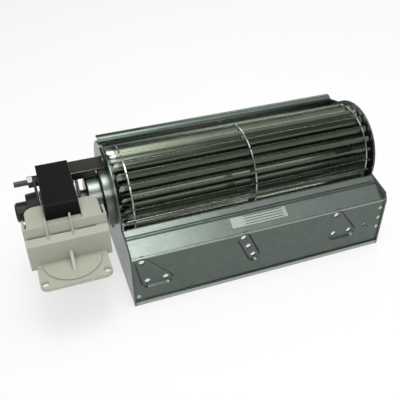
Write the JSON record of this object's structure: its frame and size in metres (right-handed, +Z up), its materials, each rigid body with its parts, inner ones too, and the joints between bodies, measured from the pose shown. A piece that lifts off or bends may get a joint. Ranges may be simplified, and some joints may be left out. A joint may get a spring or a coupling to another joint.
{
  "type": "cross flow fan",
  "caption": "Cross flow fan: sheet-metal scroll housing with a bladed drum impeller across it, driven by a shaded-pole motor on two arms at the left end.",
  "frame": {"origin": "on the plane of the outlet rim, under the middle of the fan axis between the two end plates", "axes": "+X along the fan axis away from the motor, -Y out of the front wall with the screw pads, +Z up from the outlet towards the inlet"},
  "size_m": [0.2466, 0.1138, 0.0853],
  "materials": {
    "galvanised_sheet": "galvanised, faint spangle",
    "bracket_steel": "zinc passivated, satin",
    "bright_aluminium": "bright rolled",
    "ground_steel": "ground",
    "zinc_plated_steel": "zinc plated, bright",
    "rivet_steel": "zinc plated, satin",
    "lamination_varnish": "black varnish, satin",
    "rotor_laminations": "turned",
    "copper": "dull",
    "sintered_bronze": "sintered, dull",
    "tinned_brass": "tinned",
    "die_cast_black": "black paint, satin",
    "die_cast_grey": "as cast, matt",
    "former_nylon": "moulded, matt",
    "winding_tape": "varnished",
    "cream_cover": "moulded, fine texture",
    "black_plastic": "moulded, matt",
    "rubber": "matt",
    "label_foil": "silver film, blank"
  },
  "bodies": {
    "housing": {"rear_wall": "galvanised_sheet", "front_wall": "galvanised_sheet", "motor_end_plate": "galvanised_sheet", "bearing_end_plate": "galvanised_sheet", "motor_cup": "galvanised_sheet", "motor_arms": "bracket_steel", "end_bush": "sintered_bronze", "bearing_grommet": "rubber", "stator_stack": "lamination_varnish", "shading_rings": "copper", "coil_former": "former_nylon", "coil_winding": "winding_tape", "coil_cover": "cream_cover", "outer_bridge": "die_cast_black", "inner_bridge": "die_cast_grey", "outer_bush": "sintered_bronze", "inner_bush": "sintered_bronze", "bearing_cap": "black_plastic", "clamp_rods": "zinc_plated_steel", "clamp_nuts": "zinc_plated_steel", "terminal_tags": "tinned_brass", "rating_label": "label_foil", "wall_rivets": "rivet_steel", "arm_rivets": "rivet_steel"},
    "rotor": {"impeller_blades": "bright_aluminium", "drive_disc": "bright_aluminium", "middle_ring": "bright_aluminium", "end_disc": "bright_aluminium", "drive_hub": "rubber", "stub_boss": "zinc_plated_steel", "motor_shaft": "ground_steel", "stub_shaft": "ground_steel", "rotor_core": "rotor_laminations"}
  },
  "joints": [
    {"name": "impeller_spin", "type": "hinge", "parent": "housing", "child": "rotor", "pos_m": [0, 0, 0.0531], "axis": [1, 0, 0], "continuous": true}
  ]
}
